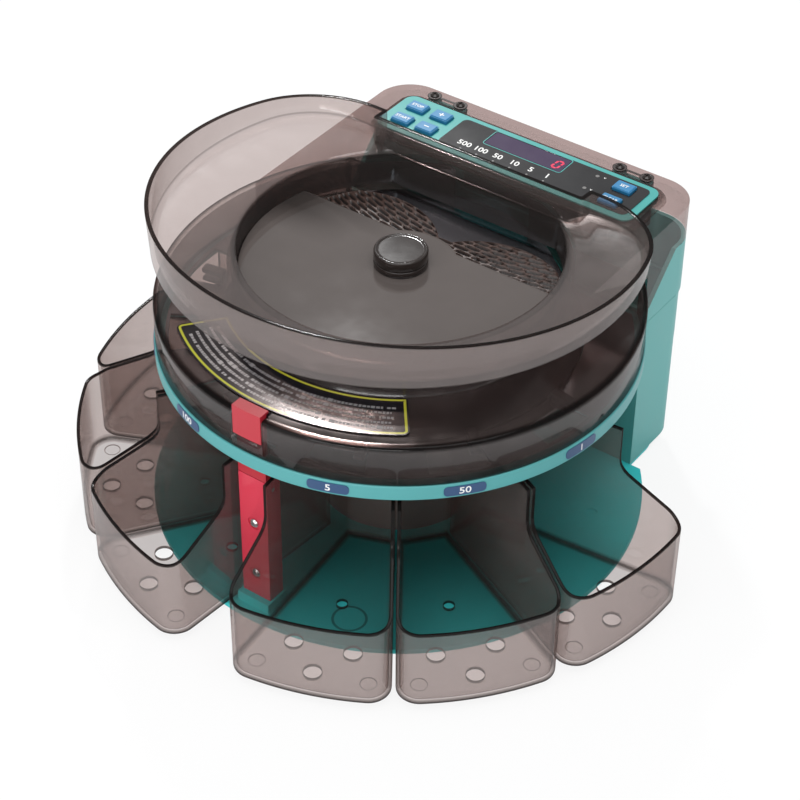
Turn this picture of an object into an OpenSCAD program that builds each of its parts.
// Table-top coin sorter: a sprung-latched lid with hopper, a turning disc on a round deck,
// and six wedge bins under the deck. Origin on the disc's axis, at the table. Front is -Y.

/* [Deck and base] */
// Radius of the round sorting deck
deck_r = 150; // [140:1:160]
// Height of the deck's underside above the table
deck_z = 118; // [112:1:126]
// Height of the deck's outer band
band_h = 10; // [8:0.5:14]
// Thickness of the deck's top plate
deck_t = 3; // [2:0.5:4]
// Thickness of the base plate
base_t = 3.5; // [3:0.5:6]
// Radius of the round front of the base plate
base_r = 157; // [150:1:165]
// Height of the rubber feet under the base plate
foot_h = 2.5; // [2:0.5:5]
// Radius of a rubber foot
foot_r = 9; // [6:0.5:12]

/* [Housing] */
// Half of the housing's width
housing_w = 115; // [110:1:118]
// Front wall of the housing, behind the disc's axis
housing_front = 98; // [96:1:104]
// Back wall of the housing at the lid
housing_back = 161; // [154:1:170]
// Back wall of the housing near the table
housing_foot_back = 143.5; // [138:0.5:152]
// Radius of the housing's upright back corners
corner_r = 24; // [15:1:30]
// Wall thickness of the teal mouldings
wall = 3; // [2:0.25:4]
// Height of the rear cover's top above the deck's underside
rear_h = 66; // [62:1:72]
// Height of the teal part of the lid above the deck's underside
teal_h = 40.5; // [36:0.5:46]

/* [Smoke covers] */
// Wall thickness of the smoke mouldings
smoke_t = 2.5; // [1.5:0.25:3]
// Height of the sorter cover's top above the deck's underside
cover_h = 38; // [34:1:42]
// Radius of the sorter cover's neck
neck_r = 104; // [102:0.5:106]
// How far the hopper's outer wall stands inside the deck's edge
hopper_in = 1.5; // [0.5:0.5:8]
// Radius of the hopper's well
well_r = 98; // [94:0.5:99]
// Height of the hopper wall's foot above the deck's underside
hopper_foot_h = 79.5; // [76:0.5:84]
// Height of the hopper's rim over the disc's axis, above the deck's underside
rim_h = 98.5; // [94:0.5:106]
// Slope of the hopper's rim, in degrees, higher at the front
rim_tilt = 5; // [0:0.5:8]
// Distance of the hopper's flat back wall from the disc's axis
chord_y = 79.5; // [74:0.5:84]

/* [Disc and drive] */
// Radius of the turning disc
disc_r = 96; // [90:0.5:97]
// Height of the disc's top face above the deck's underside
disc_h = 45; // [43:0.5:46]
// Thickness of the disc
disc_t = 3; // [2:0.5:4]
// Thickness of the rubber pads on the disc
pad_t = 2.6; // [1.5:0.1:3]
// Radius of the disc's spindle
spindle_r = 5; // [4:0.5:6]
// Teeth of the drive gear, a multiple of four
gear_teeth = 48; // [40:4:56]
// Teeth of the motor pinion
pinion_teeth = 12; // [10:1:14]
// Module of the gear teeth
gear_m = 1.2; // [1:0.05:1.25]
// Radius of the gearmotor
motor_r = 17; // [12:0.5:18]

/* [Bins] */
// Outer radius of the coin bins
bin_r = 202; // [190:1:210]
// Inner radius of the coin bins
bin_in_r = 62; // [58:1:70]
// Angle of the first bin from the front
bin_first = 20; // [19.5:0.5:20.5]
// Angle between neighbouring bins
bin_pitch = 30; // [30:0.5:30.5]
// Gap between neighbouring bins
bin_gap = 2.4; // [1.6:0.2:4]
// Wall thickness of a bin
bin_t = 2; // [1.5:0.25:2.5]
// Height of a bin's front rim above the table
bin_rim_z = 62.5; // [50:0.5:70]
// Radius of a bin's upright front corners
bin_corner = 14; // [8:1:18]

/* [Latch] */
// Width of the latch and its post
latch_w = 20.4; // [16:0.2:20.6]
// Radius of the latch's pin
pin_r = 1.5; // [1.2:0.1:2]
// Bottom of the latch's window above the deck's underside
window_h = 20; // [18:0.5:24]

/* [Panel] */
// Half of the panel bezel's width
bezel_w = 93; // [90:0.5:96]
// Front edge of the bezel
bezel_front = 98.8; // [98.5:0.1:101]
// Back edge of the bezel
bezel_back = 140.5; // [138:0.5:144]
// How far the bezel stands above the rear cover
bezel_up = 4.8; // [3:0.2:6]
// Size of a key across the panel
key_w = 13; // [11:0.5:14]
// Size of a key along the panel
key_d = 9.5; // [8:0.5:11]
// How far a key stands above the bezel
key_up = 2.6; // [2:0.2:4]

/* [Fits] */
// Running clearance round shafts and pins
run_fit = 0.05; // [0.02:0.01:0.09]
// Gap between parts that move past each other
gap = 0.4; // [0.3:0.05:0.6]
// Seam between mouldings that sit on each other
seam = 0.3; // [0.1:0.05:0.4]

/* [Hidden] */
$fn = 96;
eps = 0.01;
base_top = foot_h + base_t;
deck_top = deck_z + band_h;
seam_z = deck_z + 1.6;
cover_top = deck_z + cover_h;
rear_top = deck_z + rear_h;
teal_top = deck_z + teal_h;
disc_top = deck_z + disc_h;
pad_top = disc_top + pad_t;
guard_z = disc_top + 9.5;
guard_t = 2;
well_foot = guard_z - 6;
chord_foot = pad_top + 1;
hopper_turn_r = 40;
chord_half = 75;
rail_t = 1.5;
rail_out = deck_r - 7;
rail_in = rail_out - 30;
hopper_r = deck_r - hopper_in;
far = 1.3 * bin_r;
bezel_top = rear_top + bezel_up;
key_top = bezel_top + key_up;
label_in = neck_r + 2;
label_out = deck_r - 11.6;
label_half = 38;
label_t = 0.6;
column_r = 52;
column_t = 2;
duct_w = 40;
hinge_y = housing_back + 4.6;
hinge_z = seam_z - 0.15;
hinge_r = 3.8;
hinge_pin_r = 1.6;
knuckle_l = 16;
hinge_x = 78;
cover_r = deck_r - 0.7;
screw_head_r = 2.9;
gear_pitch_r = gear_teeth * gear_m / 2;
pinion_pitch_r = pinion_teeth * gear_m / 2;
gear_gap = gear_pitch_r + pinion_pitch_r;
gear_z = deck_z - 24;
gear_h = 7;
bracket_z = deck_z - 31;
bracket_t = 3;
collar_z = bracket_z + bracket_t + 0.5;
bearing_r = 9;
pin_y = -(deck_r - 10.8);
pin_z = deck_z - 20;
post_front = -(deck_r - 4.3);
post_depth = 12.5;
post_foot = base_top + 7;
stem_t = 2.6;
hook_t = 1.6;
bin_angles = [for (k = [0 : 2]) for (s = [-1, 1]) s * (bin_first + k * bin_pitch)];
bin_slots = [27, 20.5, 26.5, 24, 22.6, 21.5];
left_key_x = [-79, -60.4];
right_key_x = 76.7;
key_y = [128.3, 111.4];
cap_fit = 0.5;
bezel_t = 2.2;
key_travel = 1.2;
board_z = rear_top - 11;
board_t = 1.6;
window_x = 6.3;
window_y = 127.6;
window_w = 56.6;
window_d = 15.6;
window_fit = 0.2;
boss_x = [-83.7, -63.3, 58.2, 77.9];
boss_y = 154;
base_screw_r = 1.6;
front_foot = 0.613 * base_r;
foot_places = [
  [0, 0], [-front_foot, -front_foot], [front_foot, -front_foot],
  [23 - housing_w, housing_front + 14], [housing_w - 23, housing_front + 14]
];
base_screw_places = [
  [8 - housing_w, housing_front + 18], [housing_w - 8, housing_front + 18],
  [7 - column_r, 0], [column_r - 7, 0]
];
inlet_x = 45 - housing_w;
switch_x = inlet_x + 36;
switch_w = 14;
socket_z = 52;
post_screw_z = [deck_z - 47, deck_z - 87];
spring_wire = 0.35;

teal = [0.33, 0.66, 0.65];
smoke = [0.3, 0.25, 0.24, 0.55];
red = [0.84, 0.27, 0.33];
steel = [0.72, 0.73, 0.75];
dark = [0.14, 0.14, 0.15];

// A point on a circle about c
function on_circle(c, r, a) = [c[0] + r * cos(a), c[1] + r * sin(a)];

// Points along an arc about c, from angle a to angle b, in n steps
function arc(c, r, a, b, n) = [for (i = [0 : n]) on_circle(c, r, a + (b - a) * i / n)];

// A flat sector between two radii, centred on the angle mid from the front
module ring_sector(r_in, r_out, mid, half) {
  polygon(concat(
    arc([0, 0], r_out, mid - 90 - half, mid - 90 + half, 24),
    arc([0, 0], r_in, mid - 90 + half, mid - 90 - half, 24)
  ));
}

// Places its children at an angle from the front, with +X pointing outwards
module at_angle(a) {
  rotate([0, 0, a - 90]) children();
}

// A tube standing on z
module tube(r_out, r_in, z, h) {
  translate([0, 0, z]) difference() {
    cylinder(r = r_out, h = h);
    translate([0, 0, -1]) cylinder(r = r_in, h = h + 2);
  }
}

// A plate's outline: square at the front and rounded at the two back corners
module back_outline(w, y0, y1, r) {
  translate([-w + r, y0]) square([2 * (w - r), y1 - y0]);
  translate([-w, y0]) square([2 * w, y1 - y0 - r]);
  for (s = [-1, 1]) translate([s * (w - r), y1 - r]) circle(r);
}

// A solid of the housing's width with a side outline given in [y, z]
module side_slab(points, w) {
  translate([-w, 0, 0]) rotate([90, 0, 90]) linear_extrude(2 * w) polygon(points);
}

// A rounded rectangle as an outline
module round_rect(w, d, r) {
  square([w - 2 * r, d], center = true);
  square([w, d - 2 * r], center = true);
  for (x = [-1, 1], y = [-1, 1]) translate([x * (w / 2 - r), y * (d / 2 - r)]) circle(r);
}

// A pan-head screw standing on z = 0, with a cross recess
module pan_screw(length, r_shank) {
  difference() {
    union() {
      cylinder(r = screw_head_r, h = 1.1);
      translate([0, 0, 1.1]) cylinder(r1 = screw_head_r, r2 = 1.9, h = 0.9);
      translate([0, 0, -length]) cylinder(r = r_shank, h = length + eps);
    }
    for (a = [0, 90]) rotate([0, 0, a]) translate([-1.6, -0.35, 1]) cube([3.2, 0.7, 2]);
  }
}

// ---------------------------------------------------------------- base

module base_outline() {
  intersection() {
    circle(base_r);
    translate([-base_r, -base_r]) square([2 * base_r, base_r + housing_front]);
  }
  back_outline(housing_w - 1, 60, housing_foot_back - 1, corner_r - 1);
}

module base_plate() {
  color(teal) difference() {
    union() {
      translate([0, 0, foot_h]) linear_extrude(base_t) base_outline();
      translate([-latch_w / 2 - 1.4, post_front - 4, base_top - eps])
        cube([latch_w + 2.8, post_depth + 6, post_foot - base_top + eps]);
    }
    for (p = base_screw_places) translate([p[0], p[1], foot_h - 1])
      cylinder(r = base_screw_r + 0.1, h = base_t + 2);
    for (a = [-110, 0, 110]) at_angle(a) translate([base_r - 30, 0, base_top - 0.8])
      cylinder(r = 4, h = 2);
  }
}

module rubber_feet() {
  color(dark) for (p = foot_places) translate([p[0], p[1], 0]) {
    cylinder(r1 = foot_r - 0.8, r2 = foot_r, h = foot_h);
  }
}

module base_screws() {
  color(steel) for (p = base_screw_places) translate([p[0], p[1], foot_h])
    mirror([0, 0, 1]) pan_screw(base_t + 6, base_screw_r);
}

// Side outline of the lower housing, set in by t, in [y, z]
function lower_side(t) = [
  [housing_front + t, base_top + t - wall],
  [housing_foot_back - t, base_top + t - wall],
  [housing_foot_back - t, deck_z - 36],
  [housing_back - 2 - t, deck_z - 2],
  [housing_back - 2 - t, seam_z - seam + (t > 0 ? 1 : 0)],
  [housing_front + t, seam_z - seam + (t > 0 ? 1 : 0)]
];

module lower_housing() {
  color(teal) difference() {
    union() {
      difference() {
        intersection() {
          translate([0, 0, base_top]) linear_extrude(seam_z - seam - base_top)
            back_outline(housing_w, housing_front, housing_back - 2, corner_r);
          side_slab(lower_side(0), housing_w);
        }
        intersection() {
          translate([0, 0, base_top + eps]) linear_extrude(seam_z)
            back_outline(housing_w - wall, housing_front + wall, housing_back - 2 - wall, corner_r - wall);
          side_slab(lower_side(wall), housing_w);
        }
      }
      for (i = [0, 1]) translate([base_screw_places[i][0], base_screw_places[i][1], base_top])
        cylinder(r = 5.4, h = 12);
      for (s = [-1, 1]) translate([s * hinge_x + (s > 0 ? 0 : -knuckle_l), 0, 0]) base_knuckle();
    }
    translate([inlet_x - 14, housing_foot_back - wall - 1, socket_z - 11]) cube([28, wall + 2, 22]);
    translate([switch_x - switch_w / 2, housing_foot_back - wall - 1, socket_z - 11])
      cube([switch_w, wall + 2, 22]);
    for (k = [0 : 5]) translate([housing_w - 66, housing_foot_back - wall - 1, socket_z - 13 + 5 * k])
      cube([38, wall + 2, 2]);
    for (i = [0, 1]) translate([base_screw_places[i][0], base_screw_places[i][1], base_top - 1])
      cylinder(r = base_screw_r + 0.02, h = 9);
  }
}

// A round bar on the lid's hinge axis
module hinge_rod(r, x, length) {
  translate([x, hinge_y, hinge_z]) rotate([0, 90, 0]) cylinder(r = r, h = length, $fn = 48);
}

// One fixed hinge knuckle, one knuckle long from x = 0
module base_knuckle() {
  difference() {
    union() {
      hinge_rod(hinge_r, 0, knuckle_l);
      translate([0, housing_back - 2 - wall, hinge_z - 8]) cube([knuckle_l, 4.4 + wall, 7.6]);
    }
    hinge_rod(hinge_pin_r + run_fit, -1, knuckle_l + 2);
    translate([-1, housing_back - 12, seam_z - seam]) cube([knuckle_l + 2, 12.1, 8]);
  }
}

module hinge_pins() {
  pin_l = 2 * knuckle_l + gap + 1.6;
  color(steel) for (x = [hinge_x - knuckle_l - gap - 0.8, -hinge_x - knuckle_l - 0.8])
    hinge_rod(hinge_pin_r, x, pin_l);
}

module sorting_deck() {
  color(teal) difference() {
    union() {
      difference() {
        translate([0, 0, deck_z]) cylinder(r = deck_r, h = band_h);
        translate([0, 0, deck_z - eps]) cylinder(r = deck_r - 2.8, h = band_h - deck_t);
      }
      translate([0, 0, deck_z]) cylinder(r = column_r - column_t - 0.2, h = band_h - eps);
      for (a = [-95, -65, -35, 35, 65, 95]) at_angle(a) translate([column_r - 6, -1.2, deck_z])
        cube([deck_r - column_r + 4, 2.4, band_h - eps]);
    }
    translate([-far, housing_front - gap, deck_z - 1]) cube([2 * far, far, band_h + 2]);
    translate([0, 0, deck_z - 1]) cylinder(r = bearing_r, h = band_h + 2);
    for (i = [0 : 5]) translate([0, 0, deck_z - 1]) linear_extrude(band_h + 2)
      ring_sector(rail_in + 1, rail_out - 1, bin_angles[i], 8.5);
    translate([-latch_w / 2 - 0.6, post_front - 1.2, deck_z - 1]) cube([latch_w + 1.2, 11, band_h + 2]);
  }
}

module centre_column() {
  color(steel) difference() {
    union() {
      tube(column_r, column_r - column_t, base_top, deck_z - base_top);
      translate([-duct_w, column_r - 24, base_top])
        cube([2 * duct_w, housing_front - column_r + 24, deck_z - base_top]);
    }
    translate([0, 0, base_top - 1]) cylinder(r = column_r - column_t, h = deck_z);
    translate([-duct_w + column_t, 0, base_top - 1])
      cube([2 * (duct_w - column_t), housing_front + 1, deck_z]);
  }
  color(steel) for (i = [2, 3]) difference() {
    intersection() {
      translate([base_screw_places[i][0], base_screw_places[i][1], base_top]) cylinder(r = 6, h = 8);
      translate([0, 0, base_top]) cylinder(r = column_r - 1, h = 8);
    }
    translate([base_screw_places[i][0], base_screw_places[i][1], base_top - 1])
      cylinder(r = base_screw_r + 0.02, h = 8);
  }
}

// ---------------------------------------------------------------- latch

// A round bar on the latch's axis
module latch_rod(r, length) {
  translate([-length / 2, pin_y, pin_z]) rotate([0, 90, 0]) cylinder(r = r, h = length, $fn = 48);
}

module latch_post() {
  color(red) difference() {
    translate([-latch_w / 2, post_front, post_foot]) cube([latch_w, post_depth, deck_z - 11 - post_foot]);
    translate([-latch_w / 2 + 2.4, post_front + 3, post_foot - 1])
      cube([latch_w - 4.8, post_depth, deck_z - post_foot]);
    for (z = post_screw_z) translate([0, post_front - 1, z]) rotate([-90, 0, 0]) {
      cylinder(r = 4.5, h = 2);
      cylinder(r = 1.6, h = 6);
    }
    latch_rod(pin_r + run_fit / 2, 2 * latch_w);
  }
}

module post_screws() {
  color(steel) for (z = post_screw_z) translate([0, post_front + 1, z]) rotate([90, 0, 0])
    pan_screw(5, 1.55);
}

module latch_pin() {
  color(steel) latch_rod(pin_r, latch_w - 0.4);
}

module latch_spring() {
  color(steel) translate([-5.6, pin_y, pin_z]) {
    rotate([0, 90, 0]) rotate_extrude($fn = 48) for (k = [-1 : 1])
      translate([pin_r + spring_wire + 0.2, 1.6 * k * spring_wire]) circle(spring_wire, $fn = 16);
    for (s = [-1, 1]) translate([0, s * (pin_r + spring_wire + 0.2), -9])
      cylinder(r = 0.8 * spring_wire, h = 9, $fn = 16);
  }
}

// The sprung lever: a tongue on the pin, a stem through the deck and a nose in the cover's window
module latch_hook() {
  nose_z = deck_z + window_h + gap;
  top_z = cover_top + label_t + gap;
  color(red) difference() {
    union() {
      translate([-4.4, pin_y - 2.7, pin_z - 6]) cube([8.8, 5.4, 17]);
      translate([-latch_w / 2, post_front, deck_z - 10.5]) cube([latch_w, 9, 4]);
      translate([-latch_w / 2, post_front, deck_z - 10.5]) cube([latch_w, stem_t, top_z - deck_z + 10.5]);
      intersection() {
        translate([-latch_w / 2, -deck_r, nose_z])
          cube([latch_w, deck_r + post_front + 1, top_z - nose_z + hook_t]);
        cylinder(r = cover_r - 0.1, h = far);
      }
      translate([-latch_w / 2, post_front, top_z - eps]) cube([latch_w, 4.6, hook_t + eps]);
    }
    latch_rod(pin_r + run_fit, 2 * latch_w);
  }
}

// ---------------------------------------------------------------- deck fittings

module sort_rail() {
  color([0.4, 0.4, 0.42]) translate([0, 0, deck_top]) linear_extrude(rail_t) difference() {
    circle(rail_out);
    circle(rail_in);
    translate([-far, housing_front - 6]) square([2 * far, far]);
    translate([-latch_w / 2 - 1, -rail_out - 1]) square([latch_w + 2, 9]);
    for (i = [0 : 5]) ring_sector(rail_out - bin_slots[i], rail_out - 2, bin_angles[i], 7.5);
  }
}

// Fixed cone that carries coins from the disc's rim down to the rail
module coin_slide() {
  color(dark) difference() {
    rotate_extrude() polygon([
      [rail_in - 1.5, deck_top], [rail_in - 0.5, deck_top], [rail_in - 0.5, deck_top + 3],
      [disc_r + 3.5, disc_top - 7], [disc_r - 8, disc_top - 7], [disc_r - 8, disc_top - 8.5],
      [disc_r + 2.8, disc_top - 8.5], [rail_in - 2, deck_top + 2.4], [rail_in - 2, deck_top]
    ]);
    translate([-far, housing_front - 6, deck_z]) cube([2 * far, far, rear_h]);
  }
}

module coin_sensors() {
  color(dark) for (a = bin_angles) at_angle(a) difference() {
    translate([rail_in + 3, 9, deck_top + rail_t]) cube([14, 6, 9]);
    translate([rail_in + 5, 8, deck_top + rail_t + 2.4]) cube([13, 8, 3.4]);
  }
}

module number_plates() {
  color([0.16, 0.3, 0.47]) for (a = bin_angles) at_angle(a) intersection() {
    tube(deck_r + 0.4, deck_r + 0.02, deck_z, band_h);
    translate([deck_r - 10, 0, deck_z + band_h / 2]) rotate([0, 90, 0]) linear_extrude(20)
      round_rect(6.8, 25, 2.6);
  }
}

// ---------------------------------------------------------------- drive

// A spur gear's outline with slender teeth
module gear_outline(teeth, m, turn) {
  r = teeth * m / 2;
  polygon([for (i = [0 : teeth - 1]) for (p = [
    [r - 1.25 * m, -0.36], [r, -0.2], [r + 0.8 * m, -0.09],
    [r + 0.8 * m, 0.09], [r, 0.2], [r - 1.25 * m, 0.36]
  ]) on_circle([0, 0], p[0], (i + p[1]) * 360 / teeth + turn)]);
}

module drive_gear() {
  color([0.9, 0.88, 0.8]) translate([0, 0, gear_z]) difference() {
    union() {
      linear_extrude(gear_h) gear_outline(gear_teeth, gear_m, 90);
      cylinder(r = 10, h = gear_h + 4);
    }
    translate([0, 0, -1]) cylinder(r = spindle_r + 0.02, h = gear_h + 8);
    for (a = [45 : 90 : 315]) rotate([0, 0, a]) translate([18, 0, -1]) cylinder(r = 5, h = gear_h + 4);
  }
}

module motor_pinion() {
  color([0.78, 0.64, 0.35]) translate([0, gear_gap, 0]) {
    translate([0, 0, gear_z]) linear_extrude(gear_h)
      gear_outline(pinion_teeth, gear_m, -90 + 180 / pinion_teeth);
    translate([0, 0, collar_z]) cylinder(r = 4, h = gear_z - collar_z + eps);
    translate([0, 0, bracket_z - 4]) cylinder(r = 2.5, h = bracket_t + 5);
  }
}

// The gearbox hangs under the bracket, its shaft off centre
module gearmotor() {
  shaft_in = 6;
  color([0.55, 0.56, 0.58]) translate([0, gear_gap - shaft_in, 0]) difference() {
    union() {
      translate([0, 0, bracket_z - 22]) cylinder(r = motor_r, h = 22);
      translate([0, 0, bracket_z - 62]) cylinder(r = motor_r - 1.5, h = 40 + eps);
      translate([0, 0, bracket_z - 66]) cylinder(r = 5, h = 4 + eps);
    }
    translate([0, shaft_in, bracket_z - 6]) cylinder(r = 2.5 + run_fit, h = 7);
  }
}

module motor_bracket() {
  color(steel) difference() {
    union() {
      translate([0, 0, bracket_z]) cylinder(r = column_r - column_t - 0.3, h = bracket_t);
      for (a = [0, 135, 225]) at_angle(a) translate([column_r - column_t - 6, 0, bracket_z])
        cylinder(r = 3, h = deck_z - bracket_z);
    }
    translate([0, 0, bracket_z - 1]) cylinder(r = spindle_r + run_fit, h = bracket_t + 2);
    translate([0, gear_gap, bracket_z - 1]) cylinder(r = 4.4, h = bracket_t + 2);
  }
}

module spindle_bearing() {
  color([0.72, 0.55, 0.3]) difference() {
    union() {
      translate([0, 0, deck_z + 1]) cylinder(r = bearing_r - 0.02, h = 30);
      translate([0, 0, deck_top]) cylinder(r = bearing_r + 5, h = 4);
    }
    translate([0, 0, deck_z]) cylinder(r = spindle_r + run_fit, h = 40);
  }
}

module spindle() {
  color(steel) translate([0, 0, bracket_z + 0.5]) cylinder(r = spindle_r, h = disc_top + 6 - bracket_z - 0.5);
}

module rotor_disc() {
  color(steel) difference() {
    union() {
      translate([0, 0, disc_top - disc_t]) cylinder(r = disc_r, h = disc_t);
      translate([0, 0, disc_top - 10]) cylinder(r = 16, h = 10);
      translate([0, 0, disc_top - eps]) cylinder(r = 14, h = 4);
    }
    translate([0, 0, disc_top - 12]) cylinder(r = spindle_r + 0.02, h = 20);
  }
}

// Two lobes of textured rubber, each as wide as the disc at its rim
module rubber_pads() {
  pinch_r = 44;
  color([0.2, 0.15, 0.13]) translate([0, 0, disc_top]) linear_extrude(pad_t) difference() {
    intersection() {
      circle(disc_r - 1);
      union() {
        circle(pinch_r);
        for (s = [-1, 1]) translate([s * 62, 18]) circle(45);
        for (s = [-1, 1]) translate([s * 62, -18]) circle(45);
      }
    }
    circle(15);
  }
}

// ---------------------------------------------------------------- lid

module sorter_cover() {
  window_half = latch_w / 2 + 0.6;
  color(smoke) difference() {
    rotate_extrude($fn = 180) polygon([
      [cover_r - smoke_t, deck_top + seam], [cover_r, deck_top + seam],
      [cover_r, cover_top - 1.5], [cover_r - 1.5, cover_top],
      [neck_r, cover_top], [neck_r, rear_top - 2 * smoke_t],
      [neck_r - smoke_t, rear_top - 2 * smoke_t],
      [neck_r - smoke_t, cover_top - smoke_t], [cover_r - smoke_t, cover_top - smoke_t]
    ]);
    translate([-far, housing_front - gap, deck_z]) cube([2 * far, far, rear_h]);
    translate([-window_half, -deck_r - 1, deck_z + window_h]) cube([2 * window_half, 13.6, far]);
  }
}

// Side outline of the smoke rear cover: it steps down behind the round cover
rear_side = [
  [5, cover_top + seam], [housing_front - gap, cover_top + seam],
  [housing_front - gap + 0.01, deck_z + 12 + seam], [housing_front + 5, deck_z + 12 + seam],
  [housing_front + 33, teal_top + seam], [housing_back, teal_top + seam],
  [housing_back, rear_top], [5, rear_top]
];

module rear_cover() {
  color(smoke) difference() {
    intersection() {
      translate([0, 0, deck_z]) linear_extrude(rear_h)
        back_outline(housing_w, 5, housing_back, corner_r);
      side_slab(rear_side, housing_w);
    }
    translate([0, 0, deck_z - 1]) linear_extrude(rear_h + 1 - smoke_t)
      back_outline(housing_w - smoke_t, 5 + smoke_t, housing_back - smoke_t, corner_r - smoke_t);
    cylinder(r = neck_r + seam, h = 2 * far);
    translate([0, (bezel_front + bezel_back) / 2, rear_top - 10]) linear_extrude(20)
      round_rect(2 * bezel_w - 5, bezel_back - bezel_front - 5, 5);
    for (x = boss_x) translate([x, boss_y, rear_top - 10]) cylinder(r = 1.6, h = 20);
  }
}

// Side outline of the teal lid moulding
teal_side = [
  [housing_front, seam_z], [housing_back, seam_z], [housing_back, teal_top],
  [housing_front + 33, teal_top], [housing_front + 5, deck_z + 12], [housing_front, deck_z + 12]
];

module upper_housing() {
  color(teal) difference() {
    union() {
      difference() {
        intersection() {
          translate([0, 0, seam_z]) linear_extrude(rear_h)
            back_outline(housing_w, housing_front, housing_back, corner_r);
          side_slab(teal_side, housing_w);
        }
        translate([0, 0, seam_z - 1]) linear_extrude(rear_h + 2)
          back_outline(housing_w - wall, housing_front + wall, housing_back - wall, corner_r - wall);
      }
      for (x = boss_x) translate([x, boss_y, seam_z + 4]) tube(4.2, 1.3, 0, rear_top - smoke_t - seam_z - 4);
      for (x = boss_x) translate([x - 0.9, boss_y, seam_z + 4])
        cube([1.8, housing_back - boss_y - 1, teal_top - seam_z - 6]);
      for (i = [0, 2]) translate([boss_x[i], boss_y - 0.9, rear_top - smoke_t - 8])
        cube([boss_x[i + 1] - boss_x[i], 1.8, 8]);
      for (s = [-1, 1]) translate([s * hinge_x + (s > 0 ? -knuckle_l - gap : gap), 0, 0]) lid_knuckle();
    }
    for (x = boss_x) translate([x, boss_y, seam_z]) cylinder(r = 1.3, h = rear_h);
  }
}

// One knuckle that turns with the lid, one knuckle long from x = 0
module lid_knuckle() {
  difference() {
    union() {
      hinge_rod(hinge_r, 0, knuckle_l);
      translate([0, housing_back - wall, seam_z + eps]) cube([knuckle_l, 4.4 + wall, hinge_r - 0.3]);
    }
    hinge_rod(hinge_pin_r + run_fit, -1, knuckle_l + 2);
  }
}

// Plan of the hopper, set in by t: a circle that turns into a straight back with rounded ends
module hopper_plan(t) {
  r = hopper_r - t;
  back = chord_y + 10.5 - t;
  turn_r = hopper_turn_r - t;
  cx = sqrt(pow(r - turn_r, 2) - pow(back - turn_r, 2));
  meet = atan2(back - turn_r, cx);
  notch = chord_half + t;
  polygon(concat(
    arc([0, 0], r, 180 - meet, 360 + meet, 120),
    arc([cx, back - turn_r], turn_r, meet + 3, 90, 18),
    [[notch, back], [notch, chord_y - t], [-notch, chord_y - t], [-notch, back]],
    arc([-cx, back - turn_r], turn_r, 90, 177 - meet, 18)
  ));
}

module rim_cut() {
  translate([0, 0, deck_z + rim_h]) rotate([-rim_tilt, 0, 0]) translate([-far, -far, 0])
    cube([2 * far, 2 * far, far]);
}

module hopper() {
  floor_in = deck_z + hopper_foot_h - 7;
  color(smoke) {
    difference() {
      intersection() {
        translate([0, 0, deck_z]) linear_extrude(far) hopper_plan(0);
        rotate_extrude($fn = 180) polygon([
          [well_r + smoke_t, floor_in - 3.2], [hopper_r + 1, deck_z + hopper_foot_h],
          [hopper_r + 1, deck_z + far], [0, deck_z + far], [0, floor_in - 3.2]
        ]);
      }
      intersection() {
        translate([0, 0, deck_z]) linear_extrude(far) hopper_plan(smoke_t);
        rotate_extrude($fn = 180) polygon([
          [0, deck_z + far], [hopper_r, deck_z + far], [hopper_r, deck_z + hopper_foot_h + smoke_t],
          [well_r + 4, floor_in + 0.6], [well_r + 1, floor_in - 0.2],
          [well_r, floor_in - 2.2], [well_r, 0], [0, 0]
        ]);
      }
      rim_cut();
    }
    difference() {
      intersection() {
        translate([0, 0, well_foot]) cylinder(r = well_r + smoke_t, h = floor_in - well_foot - 2);
        translate([-far, -far, 0]) cube([2 * far, far + chord_y, 2 * far]);
      }
      intersection() {
        cylinder(r = well_r, h = 2 * far);
        translate([-far, -far, 0]) cube([2 * far, far + chord_y - smoke_t, 2 * far]);
      }
      translate([-far, chord_y - smoke_t - 0.1, 0]) cube([2 * far, 20, chord_foot]);
    }
    translate([0, 0, rear_top - 2 * smoke_t + seam]) difference() {
      tube(neck_r, well_r + smoke_t - 0.1, 0, floor_in - rear_top + 2 * smoke_t - 2.4);
      translate([-far, chord_y - 12, -1]) cube([2 * far, far, 50]);
    }
  }
}

// Fixed plate over the front of the disc, with a round bulge about the knob
module coin_guard() {
  color([0.42, 0.36, 0.33, 0.6]) translate([0, 0, guard_z]) linear_extrude(guard_t) difference() {
    circle(well_r - 0.3);
    difference() {
      translate([-120, 30]) square([240, 120]);
      circle(40);
    }
    circle(4);
  }
}

module guard_knob() {
  knob_r = 16.5;
  color(dark) {
    translate([0, 0, guard_z + guard_t]) cylinder(r = knob_r, h = 4);
    translate([0, 0, guard_z + guard_t + 4 - eps]) cylinder(r = knob_r - 0.6, h = 1 + 2 * eps);
    translate([0, 0, guard_z + guard_t + 5]) cylinder(r = knob_r, h = 5);
    translate([0, 0, guard_z + guard_t + 10 - eps]) cylinder(r1 = knob_r, r2 = knob_r - 1, h = 1);
    translate([0, 0, guard_z - 1]) cylinder(r = 4 - 0.02, h = guard_t + 1 + eps);
  }
}

module label_plate() {
  color([0.08, 0.08, 0.09]) translate([0, 0, cover_top]) linear_extrude(label_t)
    ring_sector(label_in, label_out, 0, label_half);
}

module cover_screws() {
  color(dark) for (x = boss_x) translate([x, boss_y, rear_top + eps]) pan_screw(8, 1.25);
}

// ---------------------------------------------------------------- panel

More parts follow.
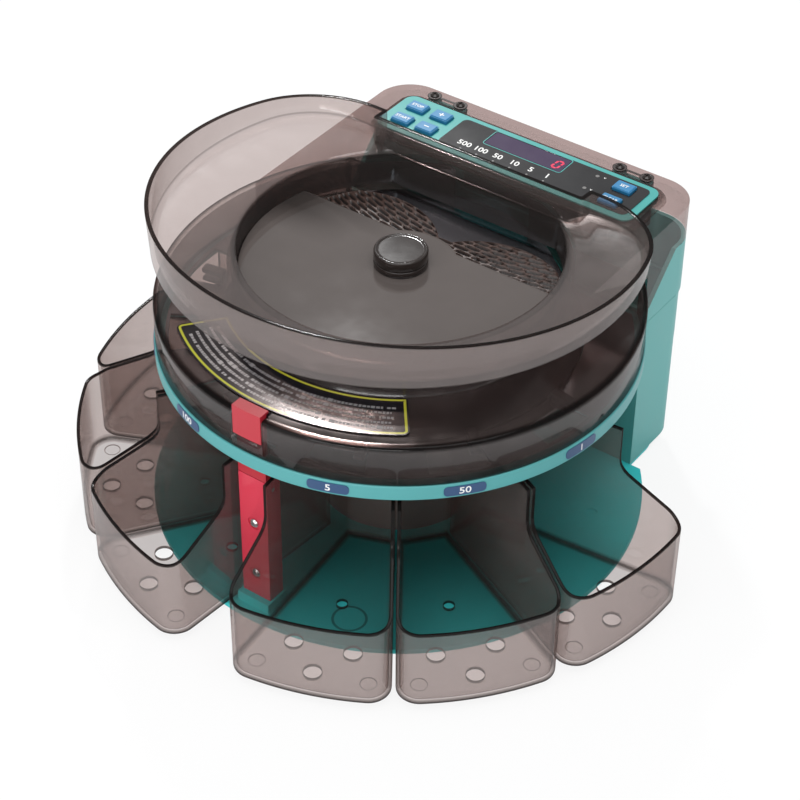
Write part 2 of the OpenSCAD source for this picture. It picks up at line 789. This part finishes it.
module panel_bezel() {
  mid = (bezel_front + bezel_back) / 2;
  depth = bezel_back - bezel_front;
  color([0.38, 0.8, 0.77]) difference() {
    union() {
      translate([0, mid, rear_top]) linear_extrude(bezel_up) round_rect(2 * bezel_w, depth, 7);
      translate([0, mid, rear_top - 4]) linear_extrude(4 + eps) round_rect(2 * bezel_w - 6, depth - 6, 5);
    }
    translate([0, mid, rear_top - 5]) linear_extrude(bezel_up + 5 - bezel_t)
      round_rect(2 * bezel_w - 9, depth - 9, 4);
    for (p = key_places) translate([p[0], p[1], rear_top]) linear_extrude(20)
      round_rect(key_w + 2 * cap_fit, key_d + 2 * cap_fit, 1);
    translate([window_x, window_y, rear_top]) linear_extrude(20) square([window_w, window_d], center = true);
  }
  color([0.38, 0.8, 0.77]) for (x = [-42, 48], y = [window_y - 13, window_y + 6])
    translate([x, y, board_z + board_t]) cylinder(r = 2.4, h = bezel_top - bezel_t - board_z - board_t + eps);
}

key_places = [
  [left_key_x[0], key_y[0]], [left_key_x[0], key_y[1]], [left_key_x[1], key_y[0]],
  [left_key_x[1], key_y[1]], [right_key_x, key_y[0]], [right_key_x, key_y[1]]
];

face_left = -47.2;
face_t = 0.5;

module panel_face() {
  front = bezel_front + 5;
  back = bezel_back - 4;
  color(dark) translate([0, 0, bezel_top]) linear_extrude(face_t) difference() {
    translate([(face_left + bezel_w - 4) / 2, (front + back) / 2])
      round_rect(bezel_w - 4 - face_left, back - front, 4);
    for (p = [key_places[4], key_places[5]]) translate(p)
      round_rect(key_w + 2 * cap_fit, key_d + 2 * cap_fit, 1);
    translate([window_x, window_y]) square([window_w, window_d], center = true);
  }
}

module display_window() {
  color([0.2, 0.14, 0.28]) translate([window_x, window_y, board_z + board_t])
    linear_extrude(bezel_top + face_t - board_z - board_t)
      square([window_w - 2 * window_fit, window_d - 2 * window_fit], center = true);
}

module control_board() {
  color([0.1, 0.35, 0.2]) difference() {
    translate([-bezel_w + 6, bezel_front + 8, board_z]) cube([2 * bezel_w - 12, 32, board_t]);
    for (x = [-bezel_w + 10, bezel_w - 10]) translate([x, bezel_back - 6, board_z - 1])
      cylinder(r = 1.6, h = board_t + 2);
  }
}

// A key: cap with a skirt that stands on the board's switch
module key_at(i) {
  color([0.15, 0.5, 0.75]) translate([key_places[i][0], key_places[i][1], 0]) {
    translate([0, 0, bezel_top - 1.2]) linear_extrude(key_up + 1.2 - 0.6) round_rect(key_w, key_d, 0.9);
    translate([0, 0, key_top - 0.6 - eps]) linear_extrude(0.6) round_rect(key_w - 0.8, key_d - 0.8, 0.8);
    translate([-2, -2, board_z + board_t + key_travel + gap])
      cube([4, 4, bezel_top - 1 - board_z - board_t - key_travel - gap]);
  }
}

module key_stop() { key_at(0); }
module key_start() { key_at(1); }
module key_plus() { key_at(2); }
module key_minus() { key_at(3); }
module key_set() { key_at(4); }
module key_clear() { key_at(5); }

// ---------------------------------------------------------------- power

module power_inlet() {
  color(dark) difference() {
    union() {
      translate([inlet_x - 16.5, housing_foot_back, socket_z - 13]) cube([33, 1.8, 26]);
      translate([inlet_x - 13.8, housing_foot_back - 22, socket_z - 10.8]) cube([27.6, 22 + eps, 21.6]);
    }
    translate([inlet_x - 11, housing_foot_back - 16, socket_z - 8]) cube([22, 20, 16]);
  }
  color(steel) for (x = [-6, 0, 6])
    translate([inlet_x + x - 1, housing_foot_back - 17, socket_z - (x == 0 ? 1 : 4)]) cube([2, 14, 4]);
}

switch_axis_y = housing_foot_back - 1.5;
trunnion_r = 1.1;

// The rocker, tilted to its off side, on two trunnions
module power_switch() {
  color(dark) translate([switch_x, switch_axis_y, socket_z]) {
    rotate([-8, 0, 0]) rotate([90, 0, 90]) translate([0, 0, -5.6]) linear_extrude(11.2) polygon([
      [-2.5, -3], [0.9, -9], [2.7, -9], [1.9, 0], [2.7, 9], [0.9, 9], [-2.5, 3]
    ]);
    translate([-6.4, 0, 0]) rotate([0, 90, 0]) cylinder(r = trunnion_r, h = 12.8, $fn = 48);
  }
}

// Frame that clips into the housing and carries the rocker
module switch_frame() {
  color(dark) difference() {
    union() {
      translate([switch_x - 9, housing_foot_back, socket_z - 13.5]) cube([18, 1.5, 27]);
      translate([switch_x - switch_w / 2 + 0.1, housing_foot_back - 12, socket_z - 10.9])
        cube([switch_w - 0.2, 12 + eps, 21.8]);
    }
    translate([switch_x - 5.9, housing_foot_back - 10.5, socket_z - 9.8]) cube([11.8, 20, 19.6]);
    translate([switch_x - 6.6, switch_axis_y, socket_z]) rotate([0, 90, 0])
      cylinder(r = trunnion_r + run_fit, h = 13.2, $fn = 48);
  }
}

module power_board() {
  color([0.1, 0.35, 0.2]) {
    translate([-20, housing_front + wall + 4, base_top + 5]) cube([housing_w - 5, 30, 1.6]);
    for (x = [-14, housing_w - 31]) translate([x, housing_front + wall + 12, base_top])
      cylinder(r = 3, h = 5 + eps);
  }
  color(dark) {
    translate([10, housing_front + wall + 8, base_top + 6.6 - eps]) cube([34, 22, 24]);
    for (x = [58, 74]) translate([x, housing_front + wall + 19, base_top + 6.6 - eps])
      cylinder(r = 6, h = 20);
  }
}

// ---------------------------------------------------------------- bins

// Plan of a bin, set in by t, pointing along +X
function bin_plan(t) =
  let (
    half = bin_pitch / 2,
    off = bin_gap / 2 + t,
    r = bin_r - t,
    rc = bin_corner - t,
    s = sqrt(pow(r - rc, 2) - pow(off + rc, 2)),
    c = [s * cos(half) + (off + rc) * sin(half), s * sin(half) - (off + rc) * cos(half)],
    a = atan2(c[1], c[0]),
    x_in = bin_in_r + t,
    y_in = x_in * tan(half) - off / cos(half)
  )
  concat(
    [[x_in, -y_in]],
    arc([c[0], -c[1]], rc, -90 - half, -a, 8),
    arc([0, 0], r, -a + 1, a - 1, 20),
    arc(c, rc, a, 90 + half, 8),
    [[x_in, y_in]]
  );

// Side outline of a bin in [radius, z]: full height under the deck, then a sweep to the low front
bin_top = deck_z - 4;
bin_step_r = deck_r - 1;
bin_sweep_r = 12;
bin_side = concat(
  [[0, 0], [bin_r + 2, 0], [bin_r + 2, bin_rim_z], [bin_r - 12, bin_rim_z]],
  arc([bin_step_r + bin_sweep_r, bin_top - 22], bin_sweep_r, 243, 180, 8),
  [[bin_step_r, bin_top], [0, bin_top]]
);

module bin_at(a) {
  floor_z = base_top + seam;
  color(smoke) at_angle(a) difference() {
    intersection() {
      translate([0, 0, floor_z]) linear_extrude(bin_top - floor_z) polygon(bin_plan(0));
      rotate([90, 0, 0]) translate([0, 0, -80]) linear_extrude(160) polygon(bin_side);
    }
    translate([0, 0, floor_z + bin_t]) linear_extrude(deck_z) polygon(bin_plan(bin_t));
    for (d = [-6, 6]) rotate([0, 0, d]) translate([bin_r - 41, 0, 0]) cylinder(r = 6, h = 20);
    for (d = [-11, 0, 11]) rotate([0, 0, d]) translate([bin_r - 18, 0, floor_z + bin_t - 0.7])
      cylinder(r = 6.5, h = 5);
  }
}

module bin_500() { bin_at(bin_angles[4]); }
module bin_10() { bin_at(bin_angles[2]); }
module bin_100() { bin_at(bin_angles[0]); }
module bin_5() { bin_at(bin_angles[1]); }
module bin_50() { bin_at(bin_angles[3]); }
module bin_1() { bin_at(bin_angles[5]); }

base_plate();
rubber_feet();
lower_housing();
sorting_deck();
centre_column();
latch_post();
post_screws();
latch_pin();
latch_spring();
sort_rail();
coin_slide();
coin_sensors();
number_plates();
gearmotor();
motor_bracket();
spindle_bearing();
hinge_pins();
power_inlet();
power_board();
base_screws();
sorter_cover();
rear_cover();
hopper();
coin_guard();
guard_knob();
upper_housing();
panel_bezel();
panel_face();
display_window();
control_board();
label_plate();
cover_screws();
rotor_disc();
rubber_pads();
spindle();
drive_gear();
motor_pinion();
latch_hook();
bin_500();
bin_100();
bin_50();
bin_10();
bin_5();
bin_1();
key_stop();
key_start();
key_plus();
key_minus();
key_set();
key_clear();
switch_frame();
power_switch();
